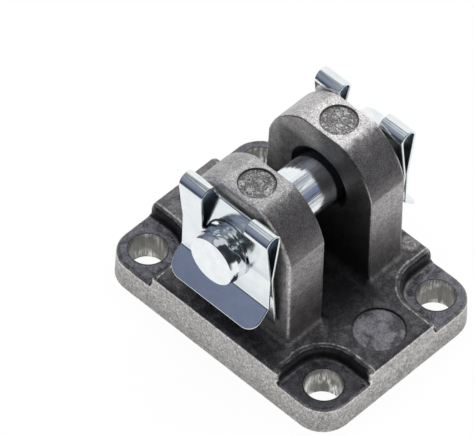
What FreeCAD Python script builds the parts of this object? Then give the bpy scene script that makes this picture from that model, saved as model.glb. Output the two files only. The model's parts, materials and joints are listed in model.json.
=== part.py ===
import FreeCAD, Part
import math
import os
import Sketcher

# Rear clevis mount: a die-cast bracket with two ears, a grooved pin through
# the ears and a folded spring clip on each end of the pin. Millimetres.
# Origin: middle of the bolt pattern on the mounting face. X runs along the
# longer side of the base, Y along the pin, +Z up from the mounting face.

SIZES = [
    # base of the bracket
    ("hole_span_x", 40.5, "bolt holes, centre to centre along X"),
    ("hole_span_y", 27.0, "bolt holes, centre to centre along Y"),
    ("bolt_hole", 6.6, "bolt hole diameter"),
    ("hole_to_side", 5.5, "bolt hole's centre to the base's sides, and radius of its corners"),
    ("platform_height", 8.4, "top of the platform above the mounting face"),
    ("pad_depth", 2.5, "floor of the corner pads below the platform"),
    ("draft_angle", 2.0, "draft of the base's side walls, degrees"),
    ("top_edge", 0.9, "rounding of the upper outer edge, on the platform and the pads"),
    ("bottom_edge", 0.4, "rounding of the base's lower edge"),
    ("pad_radius", 5.6, "wall of the lowered pad around a bolt hole"),
    ("pad_rim", 1.2, "rounding where the pad's wall meets the platform"),
    ("pad_cove", 0.5, "cove where the pad's wall meets its floor"),
    # ears
    ("tongue_gap", 11.0, "gap between the ears"),
    ("ear_thickness", 8.35, "thickness of one ear"),
    ("ear_radius", 12.1, "radius of an ear's round top about the pin's axis"),
    ("ear_half_width", 11.8, "half width of an ear where its round top starts"),
    ("ear_draft", 1.2, "draft of an ear's side faces, degrees"),
    ("ear_crown", 11.3, "flat crown of an ear above the pin's axis"),
    ("ear_crease", 0.8, "rounding of the creases across an ear"),
    ("axis_height", 25.7, "pin's axis above the mounting face"),
    ("ear_outer_edge", 0.9, "rounding of an ear's outer rim"),
    ("ear_inner_edge", 0.4, "rounding of an ear's inner rim"),
    ("ear_foot", 1.8, "fillet at the foot of an ear"),
    ("mouth_chamfer", 1.2, "chamfer of a bore's mouth on the inner face"),
    # ejector marks
    ("crown_mark", 6.5, "diameter of the ejector mark on an ear's crown"),
    ("platform_mark", 9.1, "diameter of the ejector mark on the platform"),
    ("platform_mark_x", 19.9, "platform mark's centre from the middle"),
    ("mark_depth", 0.3, "depth of the ejector marks"),
    # pin
    ("pin_diameter", 10.0, "pin"),
    ("pin_play", 0.08, "bore wider than the pin by this much"),
    ("groove_diameter", 8.0, "bottom of the pin's grooves"),
    ("groove_width", 1.3, "width of the pin's grooves"),
    ("land_length", 3.1, "from a groove to the pin's end"),
    ("taper_length", 1.5, "taper of the pin's ends, along the pin"),
    ("taper_depth", 0.4, "taper of the pin's ends, towards the axis"),
    # clips
    ("sheet", 0.5, "thickness of the clip's sheet"),
    ("clip_width", 19.9, "clip along X"),
    ("clip_to_ear", 0.35, "clip's loops clear of the ear's outer face"),
    ("strand_gap", 0.1, "gap between the clip's strands at the pinch"),
    ("loop_radius", 1.5, "middle of the sheet round a loop"),
    ("loop_height", 9.25, "centre of a loop above the pin's axis"),
    ("pinch_bend", 4.0, "bend of the sheet at the pinch"),
    ("thumb_bend", 1.0, "bend of the sheet at the thumb plate"),
    ("thumb_drop", 6.7, "thumb plate's bend below the pin's axis"),
    ("thumb_angle", 44.0, "thumb plate out from the upright, degrees"),
    ("thumb_length", 5.3, "thumb plate from its bend to its tip"),
    ("back_drop", 12.4, "back plate's end below the pin's axis"),
    ("back_lean", 6.0, "back plate's lean towards the ear, degrees"),
    ("loop_inner_x", 4.6, "inner edge of a loop from the middle"),
    ("notch_height", 9.0, "back plate's top between the loops"),
    ("notch_corner", 1.3, "corner of the notch between the loops"),
    ("window_half", 5.35, "half width between the clip's legs"),
    ("hook_radius", 4.1, "keyhole seat round the pin's groove"),
    ("eye_play", 0.2, "eye of the back plate clear of the pin"),
    ("thumb_corner", 2.7, "corners of the thumb plate"),
    ("back_corner", 0.8, "lower corners of the back plate"),
]


class Term:
    """A length on the sheet: its number now and the expression that gives it."""

    def __init__(self, number, text):
        self.number = number
        self.text = text

    def combine(self, other, sign, number):
        other_text = other.text if isinstance(other, Term) else repr(other)
        return Term(number, f"({self.text} {sign} {other_text})")

    def __add__(self, other):
        return self.combine(other, "+", self.number + plain(other))

    def __sub__(self, other):
        return self.combine(other, "-", self.number - plain(other))

    def __mul__(self, other):
        return self.combine(other, "*", self.number * plain(other))

    def __truediv__(self, other):
        return self.combine(other, "/", self.number / plain(other))

    def __radd__(self, other):
        return self + other

    def __neg__(self):
        return Term(-self.number, f"(-1 * {self.text})")


def plain(value):
    """The number of a term, or the number itself."""
    return value.number if isinstance(value, Term) else value


def tangent_of(angle):
    return Term(math.tan(math.radians(angle.number)), f"tan({angle.text} * 1 deg)")


def sine_of(angle):
    return Term(math.sin(math.radians(angle.number)), f"sin({angle.text} * 1 deg)")


def cosine_of(angle):
    return Term(math.cos(math.radians(angle.number)), f"cos({angle.text} * 1 deg)")


doc = FreeCAD.newDocument("clevis_mount")
sheet = doc.addObject("Spreadsheet::Sheet", "sizes")
for row, (alias, value, note) in enumerate(SIZES, start=1):
    sheet.set(f"A{row}", alias)
    sheet.set(f"B{row}", str(value))
    sheet.set(f"C{row}", note)
    sheet.setAlias(f"B{row}", alias)
doc.recompute()


class Sheet:
    """The sheet's cells by name, each as a term."""

    def __getattr__(self, alias):
        return Term(float(sheet.get(alias)), f"sizes.{alias}")


s = Sheet()
ORIGIN = (-1, 1)
START, END, CENTRE = 1, 2, 3
TOLERANCE = 0.001


def vector(x, y):
    return FreeCAD.Vector(plain(x), plain(y), 0)


def new_body(name):
    body = doc.addObject("PartDesign::Body", name)
    body.Label = name
    return body


def origin_plane(body, role):
    return next(f for f in body.Origin.OriginFeatures if f.Role == role)


def new_sketch(body, name, role, lift=None, shift=None, raise_by=None):
    """A sketch on one of the body's origin planes, moved along its normal, across and up."""
    sketch = body.newObject("Sketcher::SketchObject", name)
    sketch.AttachmentSupport = [(origin_plane(body, role), "")]
    sketch.MapMode = "FlatFace"
    for axis, value in (("z", lift), ("x", shift), ("y", raise_by)):
        if value is not None:
            sketch.setExpression(f".AttachmentOffset.Base.{axis}", value.text)
    return sketch


def bind(sketch, kind, places, value, label):
    """Adds a dimension and binds it to the sheet."""
    index = sketch.addConstraint(Sketcher.Constraint(kind, *places, plain(value)))
    if isinstance(value, Term):
        name = f"{label}_{index}"
        sketch.renameConstraint(index, name)
        sketch.setExpression(f"Constraints.{name}", value.text)


def pin_point(sketch, element, end, x, y):
    """Places one point of an element at x, y from the sketch's origin."""
    for kind, value, label in (("DistanceX", x, "x"), ("DistanceY", y, "y")):
        if isinstance(value, Term) or value:
            bind(sketch, kind, (*ORIGIN, element, end), value, label)
        else:
            axis = -2 if kind == "DistanceX" else -1
            sketch.addConstraint(Sketcher.Constraint("PointOnObject", element, end, axis))


def turn_from_x(sketch, line, angle):
    """Fixes a line's direction, in degrees from the sketch's X axis."""
    index = sketch.addConstraint(Sketcher.Constraint("Angle", line, math.radians(angle.number)))
    name = f"turn_{index}"
    sketch.renameConstraint(index, name)
    sketch.setExpression(f"Constraints.{name}", f"{angle.text} * 1 deg")


def join(sketch, first, second):
    sketch.addConstraint(Sketcher.Constraint("Coincident", first, END, second, START))


def polygon(sketch, corners):
    """A closed outline of straight lines with every corner placed."""
    first = len(sketch.Geometry)
    ends = corners[1:] + corners[:1]
    for start, stop in zip(corners, ends):
        sketch.addGeometry(Part.LineSegment(vector(*start), vector(*stop)), False)
    count = len(corners)
    for i in range(count):
        join(sketch, first + i, first + (i + 1) % count)
        pin_point(sketch, first + i, START, *corners[i])


def circle(sketch, x, y, radius):
    index = sketch.addGeometry(Part.Circle(vector(x, y), FreeCAD.Vector(0, 0, 1), plain(radius)), False)
    pin_point(sketch, index, CENTRE, x, y)
    bind(sketch, "Radius", (index,), radius, "radius")


def arc(sketch, centre, radius, start_angle, end_angle):
    """An arc, counter-clockwise from start to end, its radius bound."""
    shape = Part.Circle(vector(*centre), FreeCAD.Vector(0, 0, 1), plain(radius))
    index = sketch.addGeometry(Part.ArcOfCircle(shape, start_angle, end_angle), False)
    bind(sketch, "Radius", (index,), radius, "radius")
    return index


def rounded_rectangle(sketch, half_x, half_y, corner):
    """A rectangle about the origin with round corners: four lines and four arcs."""
    hx, hy, r = plain(half_x), plain(half_y), plain(corner)
    lines = [((-hx + r, -hy), (hx - r, -hy)), ((hx, -hy + r), (hx, hy - r)),
             ((hx - r, hy), (-hx + r, hy)), ((-hx, hy - r), (-hx, -hy + r))]
    centres = [(hx - r, -hy + r), (hx - r, hy - r), (-hx + r, hy - r), (-hx + r, -hy + r)]
    for start, stop in lines:
        sketch.addGeometry(Part.LineSegment(vector(*start), vector(*stop)), False)
    for i, centre in enumerate(centres):
        turn = (i - 1) * math.pi / 2
        shape = Part.Circle(vector(*centre), FreeCAD.Vector(0, 0, 1), r)
        sketch.addGeometry(Part.ArcOfCircle(shape, turn, turn + math.pi / 2), False)
    for i in range(4):
        sketch.addConstraint(Sketcher.Constraint("Tangent", i, END, 4 + i, START))
        sketch.addConstraint(Sketcher.Constraint("Tangent", 4 + i, END, (i + 1) % 4, START))
        sketch.addConstraint(Sketcher.Constraint("Horizontal" if i % 2 == 0 else "Vertical", i))
    for i in range(1, 4):
        sketch.addConstraint(Sketcher.Constraint("Equal", 4, 4 + i))
    bind(sketch, "Radius", (4,), corner, "radius")
    bind(sketch, "DistanceY", (*ORIGIN, 0, START), -half_y, "low")
    bind(sketch, "DistanceX", (*ORIGIN, 1, START), half_x, "right")
    bind(sketch, "DistanceY", (*ORIGIN, 2, START), half_y, "high")
    bind(sketch, "DistanceX", (*ORIGIN, 3, START), -half_x, "left")


def edges_where(shape, test):
    """Names of the shape's edges that pass the test."""
    return [f"Edge{i}" for i, edge in enumerate(shape.Edges, start=1) if test(edge)]


def lies_at(edge, axis, place):
    """True where the whole edge has one coordinate."""
    box = edge.BoundBox
    low, high = {"x": (box.XMin, box.XMax), "y": (box.YMin, box.YMax), "z": (box.ZMin, box.ZMax)}[axis]
    return abs(low - place) < TOLERANCE and abs(high - place) < TOLERANCE


def dress(body, kind, name, base, edges, prop, size):
    """A fillet or chamfer on the named edges of the last feature."""
    feature = body.newObject(f"PartDesign::{kind}", name)
    feature.Base = (base, edges)
    setattr(feature, prop, plain(size))
    feature.setExpression(prop, size.text)
    doc.recompute()
    return feature


def cut(body, name, sketch, length=None, both=False, turned=False):
    """A pocket along the sketch's normal, through everything if it has no length."""
    pocket = body.newObject("PartDesign::Pocket", name)
    pocket.Profile = sketch
    pocket.Midplane = both
    pocket.Reversed = turned
    if length is None:
        pocket.Type = "ThroughAll"
    else:
        pocket.Length = plain(length)
        pocket.setExpression("Length", length.text)
    before = body.Shape.Volume
    doc.recompute()
    if not pocket.Shape.Volume < before:
        raise RuntimeError(f"{name} cuts nothing")
    return pocket


# Bracket

hole_x = s.hole_span_x / 2
hole_y = s.hole_span_y / 2
base_half_x = hole_x + s.hole_to_side
base_half_y = hole_y + s.hole_to_side
gap_half = s.tongue_gap / 2
ear_face = gap_half + s.ear_thickness
bore = s.pin_diameter + s.pin_play


def base_plate(body):
    outline = new_sketch(body, "base_outline", "XY_Plane")
    rounded_rectangle(outline, base_half_x, base_half_y, s.hole_to_side)
    pad = body.newObject("PartDesign::Pad", "base")
    pad.Profile = outline
    pad.setExpression("Length", s.platform_height.text)
    pad.setExpression("TaperAngle", (-s.draft_angle).text)
    doc.recompute()
    low = edges_where(pad.Shape, lambda e: lies_at(e, "z", 0.0))
    dress(body, "Fillet", "bottom_rounding", pad, low, "Radius", s.bottom_edge)


def ears(body):
    """Both ears as one block with a round top and a flat crown, then the gap."""
    profile = new_sketch(body, "ear_profile", "XZ_Plane")
    sunk = s.platform_height / 2
    start_rise = math.sqrt(s.ear_radius.number ** 2 - s.ear_half_width.number ** 2)
    crown_half = math.sqrt(s.ear_radius.number ** 2 - s.ear_crown.number ** 2)
    spread = (s.axis_height - sunk) * tangent_of(s.ear_draft)
    foot = s.ear_half_width + spread
    axis, radius = s.axis_height, s.ear_radius
    low_angle = math.atan2(start_rise, s.ear_half_width.number)
    high_angle = math.atan2(s.ear_crown.number, crown_half)
    shoulder = s.axis_height.number + start_rise
    crown = s.axis_height + s.ear_crown
    points = [(-foot, sunk), (foot, sunk), (s.ear_half_width, shoulder), (crown_half, crown),
              (-crown_half, crown), (-s.ear_half_width, shoulder)]
    for a, b in ((0, 1), (1, 2), (3, 4), (5, 0)):
        profile.addGeometry(Part.LineSegment(vector(*points[a]), vector(*points[b])), False)
    bottom, right, top, left = range(4)
    right_arc = arc(profile, (0, axis), radius, low_angle, high_angle)
    left_arc = arc(profile, (0, axis), radius, math.pi - high_angle, math.pi - low_angle)
    for first, second in ((bottom, right), (right, right_arc), (right_arc, top), (top, left_arc),
                          (left_arc, left), (left, bottom)):
        join(profile, first, second)
    for element in (right_arc, left_arc):
        pin_point(profile, element, CENTRE, 0, axis)
    pin_point(profile, bottom, START, -foot, sunk)
    pin_point(profile, bottom, END, foot, sunk)
    bind(profile, "DistanceX", (*ORIGIN, right, END), s.ear_half_width, "half")
    bind(profile, "DistanceX", (*ORIGIN, left, START), -s.ear_half_width, "half")
    bind(profile, "DistanceY", (*ORIGIN, top, START), crown, "crown")
    profile.addConstraint(Sketcher.Constraint("Horizontal", top))
    block = body.newObject("PartDesign::Pad", "ear_block")
    block.Profile = profile
    block.Midplane = True
    block.setExpression("Length", (ear_face * 2).text)
    doc.recompute()
    creases = edges_where(block.Shape, lambda e: e.BoundBox.YLength > s.tongue_gap.number
                          and e.CenterOfMass.z > s.axis_height.number)
    dress(body, "Fillet", "ear_creases", block, creases, "Radius", s.ear_crease)
    slot = new_sketch(body, "gap_outline", "YZ_Plane")
    above = s.axis_height + s.ear_radius * 2
    polygon(slot, [(-gap_half, s.platform_height), (gap_half, s.platform_height), (gap_half, above),
                   (-gap_half, above)])
    cut(body, "gap", slot, both=True)


def ear_rims(body):
    """Rounds the ears' outer and inner rims, then their feet."""
    platform = s.platform_height.number

    def is_rim(edge, face):
        above = edge.BoundBox.ZMax > platform + TOLERANCE
        return above and (lies_at(edge, "y", face.number) or lies_at(edge, "y", -face.number))

    rims = (("outer_rims", ear_face, s.ear_outer_edge), ("inner_rims", gap_half, s.ear_inner_edge))
    for name, face, size in rims:
        base = body.Tip
        dress(body, "Fillet", name, base, edges_where(base.Shape, lambda e: is_rim(e, face)), "Radius", size)
    base = body.Tip

    def is_foot(edge):
        box = edge.BoundBox
        on_ear = max(abs(box.YMin), abs(box.YMax)) < ear_face.number + TOLERANCE
        between_holes = max(abs(box.XMin), abs(box.XMax)) < hole_x.number
        return on_ear and between_holes and lies_at(edge, "z", platform)

    dress(body, "Fillet", "foot_fillets", base, edges_where(base.Shape, is_foot), "Radius", s.ear_foot)


def bores(body):
    round_hole = new_sketch(body, "bore_outline", "XZ_Plane")
    circle(round_hole, 0, s.axis_height, bore / 2)
    cut(body, "bore", round_hole, both=True)
    base = body.Tip

    def is_inner_mouth(edge):
        on_face = lies_at(edge, "y", gap_half.number) or lies_at(edge, "y", -gap_half.number)
        return on_face and abs(edge.BoundBox.ZLength - bore.number) < TOLERANCE

    mouths = edges_where(base.Shape, is_inner_mouth)
    dress(body, "Chamfer", "bore_mouths", base, mouths, "Size", s.mouth_chamfer)


def wall_section(sketch, far_x):
    """Section of a lowered pad: floor, cove, upright wall and rounded rim, left of the hole's axis."""
    platform = s.platform_height
    floor = platform - s.pad_depth
    wall, cove, rim = s.pad_radius, s.pad_cove, s.pad_rim
    top = platform + s.ear_foot * 2
    lines = [((far_x, floor), (-(wall - cove), floor)), ((-wall, floor + cove), (-wall, platform - rim)),
             ((-(wall + rim), platform), (-(wall + rim), top)), ((-(wall + rim), top), (far_x, top)),
             ((far_x, top), (far_x, floor))]
    for start, stop in lines:
        sketch.addGeometry(Part.LineSegment(vector(*start), vector(*stop)), False)
    floor_line, wall_line, rise, roof, shaft = range(5)
    cove_centre = (-(wall - cove), floor + cove)
    rim_centre = (-(wall + rim), platform - rim)
    cove_arc = arc(sketch, cove_centre, cove, math.pi, 1.5 * math.pi)
    rim_arc = arc(sketch, rim_centre, rim, 0, 0.5 * math.pi)
    pin_point(sketch, cove_arc, CENTRE, *cove_centre)
    pin_point(sketch, rim_arc, CENTRE, *rim_centre)
    for line in (floor_line, roof):
        sketch.addConstraint(Sketcher.Constraint("Horizontal", line))
    for line in (rise, shaft):
        sketch.addConstraint(Sketcher.Constraint("Vertical", line))
    sketch.addConstraint(Sketcher.Constraint("Tangent", floor_line, END, cove_arc, END))
    sketch.addConstraint(Sketcher.Constraint("Tangent", cove_arc, START, wall_line, START))
    sketch.addConstraint(Sketcher.Constraint("Tangent", wall_line, END, rim_arc, START))
    sketch.addConstraint(Sketcher.Constraint("Perpendicular", rim_arc, END, rise, START))
    for first, second in ((rise, roof), (roof, shaft), (shaft, floor_line)):
        join(sketch, first, second)
    pin_point(sketch, roof, END, far_x, top)


def corner_pads(body):
    """One corner's wall, turned about the hole and run out to both edges, with its hole; then mirrored."""
    beyond = base_half_x
    inner = new_sketch(body, "pad_turn_section", "XZ_Plane", lift=-hole_y, shift=hole_x)
    wall_section(inner, 0)
    turn = body.newObject("PartDesign::Groove", "pad_turn")
    turn.Profile = inner
    turn.ReferenceAxis = (inner, ["V_Axis"])
    turn.Angle = 90
    doc.recompute()
    wide = new_sketch(body, "pad_rear_section", "XZ_Plane", lift=-hole_y, shift=hole_x)
    wall_section(wide, beyond)
    rear_run = cut(body, "pad_rear_run", wide, length=beyond)
    narrow = new_sketch(body, "pad_side_section", "YZ_Plane", lift=hole_x, shift=hole_y)
    wall_section(narrow, 0)
    side_run = cut(body, "pad_side_run", narrow, length=beyond, turned=True)
    hole = new_sketch(body, "bolt_hole_outline", "XY_Plane")
    circle(hole, hole_x, hole_y, s.bolt_hole / 2)
    drilled = cut(body, "bolt_hole_cut", hole, length=s.platform_height, turned=True)
    corners = body.newObject("PartDesign::MultiTransform", "four_corners")
    corners.Originals = [turn, rear_run, side_run, drilled]
    mirrors = []
    for name, role in (("mirror_x", "YZ_Plane"), ("mirror_y", "XZ_Plane")):
        mirror = body.newObject("PartDesign::Mirrored", name)
        mirror.MirrorPlane = (origin_plane(body, role), [""])
        mirrors.append(mirror)
    corners.Transformations = mirrors
    body.Tip = corners
    doc.recompute()


def top_rounding(body):
    """Rounds the upper outer edge all the way round, over the pads and the platform."""
    base = body.Tip
    platform = s.platform_height.number
    floor = platform - s.pad_depth.number
    inset = platform * tangent_of(s.draft_angle).number + TOLERANCE

    def is_upper_edge(edge):
        box = edge.BoundBox
        reach_x = max(abs(box.XMin), abs(box.XMax))
        reach_y = max(abs(box.YMin), abs(box.YMax))
        near_side = reach_x > base_half_x.number - inset or reach_y > base_half_y.number - inset
        return near_side and box.ZMin > floor - TOLERANCE and box.ZMax < platform + TOLERANCE

    dress(body, "Fillet", "upper_rounding", base, edges_where(base.Shape, is_upper_edge), "Radius", s.top_edge)


def ejector_marks(body):
    crowns = new_sketch(body, "crown_marks", "XY_Plane", lift=s.axis_height + s.ear_crown)
    ear_middle = gap_half + s.ear_thickness / 2
    for y in (ear_middle, -ear_middle):
        circle(crowns, 0, y, s.crown_mark / 2)
    cut(body, "crown_recesses", crowns, length=s.mark_depth)
    flats = new_sketch(body, "platform_marks", "XY_Plane", lift=s.platform_height)
    for x in (s.platform_mark_x, -s.platform_mark_x):
        circle(flats, x, 0, s.platform_mark / 2)
    cut(body, "platform_recesses", flats, length=s.mark_depth)


# Pin

pin_radius = s.pin_diameter / 2
strand_middle = (s.strand_gap + s.sheet) / 2
pinch_y = ear_face + s.clip_to_ear + s.loop_radius + s.sheet / 2
groove_inner = pinch_y + strand_middle - s.groove_width / 2
groove_outer = groove_inner + s.groove_width
pin_end = groove_outer + s.land_length


def make_pin(body):
    """Half section along the pin, turned about its axis."""
    section = new_sketch(body, "pin_section", "YZ_Plane", raise_by=s.axis_height)
    neck = s.groove_diameter / 2
    half = [(groove_inner, pin_radius), (groove_inner, neck), (groove_outer, neck),
            (groove_outer, pin_radius), (pin_end - s.taper_length, pin_radius),
            (pin_end, pin_radius - s.taper_depth), (pin_end, 0)]
    polygon(section, half + [(-y, z) for y, z in reversed(half)])
    turned = body.newObject("PartDesign::Revolution", "turned_pin")
    turned.Profile = section
    turned.ReferenceAxis = (section, ["H_Axis"])
    turned.Angle = 360
    doc.recompute()


# Clips

def fold_path(sketch):
    """Middle of the sheet seen from the side; the outward side is at -Y."""
    middle, loop, height = strand_middle, s.loop_radius, s.loop_height
    bend, thumb_bend = s.pinch_bend, s.thumb_bend
    thumb = math.radians(s.thumb_angle.number)
    back = math.radians(s.back_lean.number)
    reach, rise = plain(middle) + plain(bend), plain(height)
    lean = math.atan2(rise, reach) - math.acos((plain(loop) + plain(bend)) / math.hypot(reach, rise))
    tip = (-(middle + s.thumb_length * sine_of(s.thumb_angle)),
           -(s.thumb_drop + s.thumb_length * cosine_of(s.thumb_angle)))
    corner = -(plain(s.thumb_drop) - plain(thumb_bend) * math.tan(thumb / 2))
    thumb_centre = (-(plain(middle) + plain(thumb_bend)), corner)
    front_centre = (-(middle + bend), 0)
    back_centre = (middle + bend, 0)
    eye_end = (plain(back_centre[0]) - plain(bend) * math.cos(back), -plain(bend) * math.sin(back))
    foot_y = eye_end[0] + (plain(s.back_drop) + eye_end[1]) * math.tan(back)
    front_top = (-plain(loop) * math.cos(lean), rise - plain(loop) * math.sin(lean))
    front_low = (plain(front_centre[0]) + plain(bend) * math.cos(lean), plain(bend) * math.sin(lean))

    def line(start, stop):
        return sketch.addGeometry(Part.LineSegment(vector(*start), vector(*stop)), False)

    thumb_start = (thumb_centre[0] + plain(thumb_bend) * math.cos(-thumb),
                   thumb_centre[1] + plain(thumb_bend) * math.sin(-thumb))
    thumb_line = line(tip, thumb_start)
    thumb_arc = arc(sketch, thumb_centre, thumb_bend, -thumb, 0)
    neck_line = line((-middle, corner), (-middle, 0))
    front_arc = arc(sketch, front_centre, bend, 0, lean)
    front_line = line(front_low, front_top)
    loop_arc = arc(sketch, (0, height), loop, -lean, math.pi + lean)
    back_line = line((-front_top[0], front_top[1]), (-front_low[0], front_low[1]))
    back_arc = arc(sketch, back_centre, bend, math.pi - lean, math.pi + back)
    tail_line = line(eye_end, (foot_y, -s.back_drop))
    chain = [(thumb_line, END, thumb_arc, START), (thumb_arc, END, neck_line, START),
             (neck_line, END, front_arc, START), (front_arc, END, front_line, START),
             (front_line, END, loop_arc, END), (loop_arc, START, back_line, START),
             (back_line, END, back_arc, START), (back_arc, END, tail_line, START)]
    for places in chain:
        sketch.addConstraint(Sketcher.Constraint("Tangent", *places))
    pin_point(sketch, thumb_line, START, *tip)
    pin_point(sketch, front_arc, CENTRE, *front_centre)
    pin_point(sketch, loop_arc, CENTRE, 0, height)
    pin_point(sketch, back_arc, CENTRE, *back_centre)
    sketch.addConstraint(Sketcher.Constraint("Vertical", neck_line))
    bind(sketch, "DistanceY", (*ORIGIN, tail_line, END), -s.back_drop, "foot")
    turn_from_x(sketch, thumb_line, Term(90 - s.thumb_angle.number, f"(90 - {s.thumb_angle.text})"))
    turn_from_x(sketch, tail_line, Term(s.back_lean.number - 90, f"({s.back_lean.text} - 90)"))


def make_clip(body):
    """The folded sheet with its notch, eye and window, in place on the front end of the pin."""
    path = new_sketch(body, "fold", "YZ_Plane", shift=-pinch_y, raise_by=s.axis_height)
    fold_path(path)
    doc.recompute()
    strip = body.newObject("Sketcher::SketchObject", "strip_section")
    strip.AttachmentSupport = [(path, "Edge1")]
    strip.MapMode = "NormalToEdge"
    strip.MapPathParameter = 0
    half_width, half_sheet = s.clip_width / 2, s.sheet / 2
    polygon(strip, [(-half_width, -half_sheet), (half_width, -half_sheet), (half_width, half_sheet),
                    (-half_width, half_sheet)])
    bent = body.newObject("PartDesign::AdditivePipe", "bent_sheet")
    bent.Profile = strip
    bent.Spine = (path, [])
    doc.recompute()
    notch = new_sketch(body, "notch", "XZ_Plane", lift=pinch_y, raise_by=s.axis_height)
    notch_outline(notch)
    cut(body, "notch_cut", notch, both=True)
    window = new_sketch(body, "window", "XZ_Plane", lift=pinch_y, raise_by=s.axis_height)
    window_outline(window)
    cut(body, "window_cut", window, turned=True)
    eye = new_sketch(body, "eye", "XZ_Plane", lift=pinch_y, raise_by=s.axis_height)
    circle(eye, 0, 0, pin_radius + s.eye_play)
    cut(body, "eye_cut", eye)
    side = s.clip_width.number / 2

    def is_low_corner(edge, thumb):
        outside = lies_at(edge, "x", side) or lies_at(edge, "x", -side)
        short = abs(edge.Length - s.sheet.number) < 10 * TOLERANCE
        on_thumb = edge.CenterOfMass.y < -pinch_y.number
        return outside and short and edge.BoundBox.ZMax < s.axis_height.number and on_thumb == thumb

    for name, thumb, size in (("thumb_corners", True, s.thumb_corner), ("back_corners", False, s.back_corner)):
        base = body.Tip
        corners = edges_where(base.Shape, lambda e: is_low_corner(e, thumb))
        dress(body, "Fillet", name, base, corners, "Radius", size)


def notch_outline(sketch):
    """Between the loops: a slot open at the top, with round lower corners."""
    half, low, corner = s.loop_inner_x, s.notch_height, s.notch_corner
    top = s.loop_height + s.loop_radius * 3
    lines = [((-half + corner, low), (half - corner, low)), ((half, low + corner), (half, top)),
             ((half, top), (-half, top)), ((-half, top), (-half, low + corner))]
    for start, stop in lines:
        sketch.addGeometry(Part.LineSegment(vector(*start), vector(*stop)), False)
    floor, right, roof, left = range(4)
    right_arc = arc(sketch, (half - corner, low + corner), corner, 1.5 * math.pi, 2 * math.pi)
    left_arc = arc(sketch, (-half + corner, low + corner), corner, math.pi, 1.5 * math.pi)
    for places in ((floor, END, right_arc, START), (right_arc, END, right, START),
                   (left, END, left_arc, START), (left_arc, END, floor, START)):
        sketch.addConstraint(Sketcher.Constraint("Tangent", *places))
    join(sketch, right, roof)
    join(sketch, roof, left)
    for line in (floor, roof):
        sketch.addConstraint(Sketcher.Constraint("Horizontal", line))
    for line in (right, left):
        sketch.addConstraint(Sketcher.Constraint("Vertical", line))
    pin_point(sketch, roof, START, half, top)
    bind(sketch, "DistanceX", (*ORIGIN, left, START), -half, "left")
    bind(sketch, "DistanceY", (*ORIGIN, floor, START), low, "floor")


def window_outline(sketch):
    """Between the legs: wide for the pin's land, with a seat round the groove at the bottom."""
    seat, wide, top_half = s.hook_radius, s.window_half, s.loop_inner_x
    shoulder = wide - seat
    top = s.notch_height + s.notch_corner
    points = [(-seat, 0), (-wide, shoulder), (-top_half, top), (top_half, top), (wide, shoulder), (seat, 0)]
    for start, stop in zip(points, points[1:]):
        sketch.addGeometry(Part.LineSegment(vector(*stop), vector(*start)), False)
    last = len(points) - 2
    for i in range(last):
        join(sketch, i + 1, i)
    round_seat = arc(sketch, (0, 0), seat, math.pi, 2 * math.pi)
    pin_point(sketch, round_seat, CENTRE, 0, 0)
    sketch.addConstraint(Sketcher.Constraint("Coincident", round_seat, START, 0, END))
    sketch.addConstraint(Sketcher.Constraint("Coincident", round_seat, END, last, START))
    sketch.addConstraint(Sketcher.Constraint("PointOnObject", round_seat, START, -1))
    sketch.addConstraint(Sketcher.Constraint("PointOnObject", round_seat, END, -1))
    for i in range(1, last + 1):
        pin_point(sketch, i, END, *points[i])


bracket = new_body("bracket")
base_plate(bracket)
ears(bracket)
ear_rims(bracket)
bores(bracket)
corner_pads(bracket)
top_rounding(bracket)
ejector_marks(bracket)

pin = new_body("pin")
make_pin(pin)

clips = []
for name, turn in (("clip_front", 0), ("clip_rear", 180)):
    clip = new_body(name)
    make_clip(clip)
    clip.Placement = FreeCAD.Placement(FreeCAD.Vector(), FreeCAD.Rotation(FreeCAD.Vector(0, 0, 1), turn))
    clips.append(clip)
doc.recompute()

for thing in doc.Objects:
    if "Invalid" in thing.State or "Error" in thing.State:
        raise RuntimeError(f"{thing.Name} failed: {thing.State}")
os.makedirs("parts", exist_ok=True)
for node in [bracket, pin] + clips:
    shape = node.Shape
    if shape.isNull() or not shape.isValid() or len(shape.Solids) != 1:
        raise RuntimeError(f"{node.Label} is not one valid solid")
    shape.exportStep(f"parts/{node.Label}.step")
    print(f"{node.Label}: {shape.Volume:.1f} mm3, {len(shape.Faces)} faces")
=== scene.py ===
import json
import math

import bmesh
import bpy
import numpy as np
from mathutils import Matrix, Vector


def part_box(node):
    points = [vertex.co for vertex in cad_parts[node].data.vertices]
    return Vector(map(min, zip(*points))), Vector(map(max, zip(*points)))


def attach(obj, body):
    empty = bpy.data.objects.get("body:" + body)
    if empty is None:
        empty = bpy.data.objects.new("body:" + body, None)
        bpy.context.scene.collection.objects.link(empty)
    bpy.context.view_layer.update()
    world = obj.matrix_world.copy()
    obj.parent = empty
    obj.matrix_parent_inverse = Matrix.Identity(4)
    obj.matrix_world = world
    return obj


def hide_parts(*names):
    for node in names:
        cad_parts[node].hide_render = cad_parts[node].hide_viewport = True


bl_info = {
    "name": "Clevis Mount Finish",
    "version": (1, 0, 0),
    "blender": (4, 5, 0),
    "location": "View3D > Sidebar > Clevis Mount",
    "description": "Dresses a cast clevis mount, its pin and its spring clips around the packed CAD frame",
    "category": "Object",
}

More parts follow.
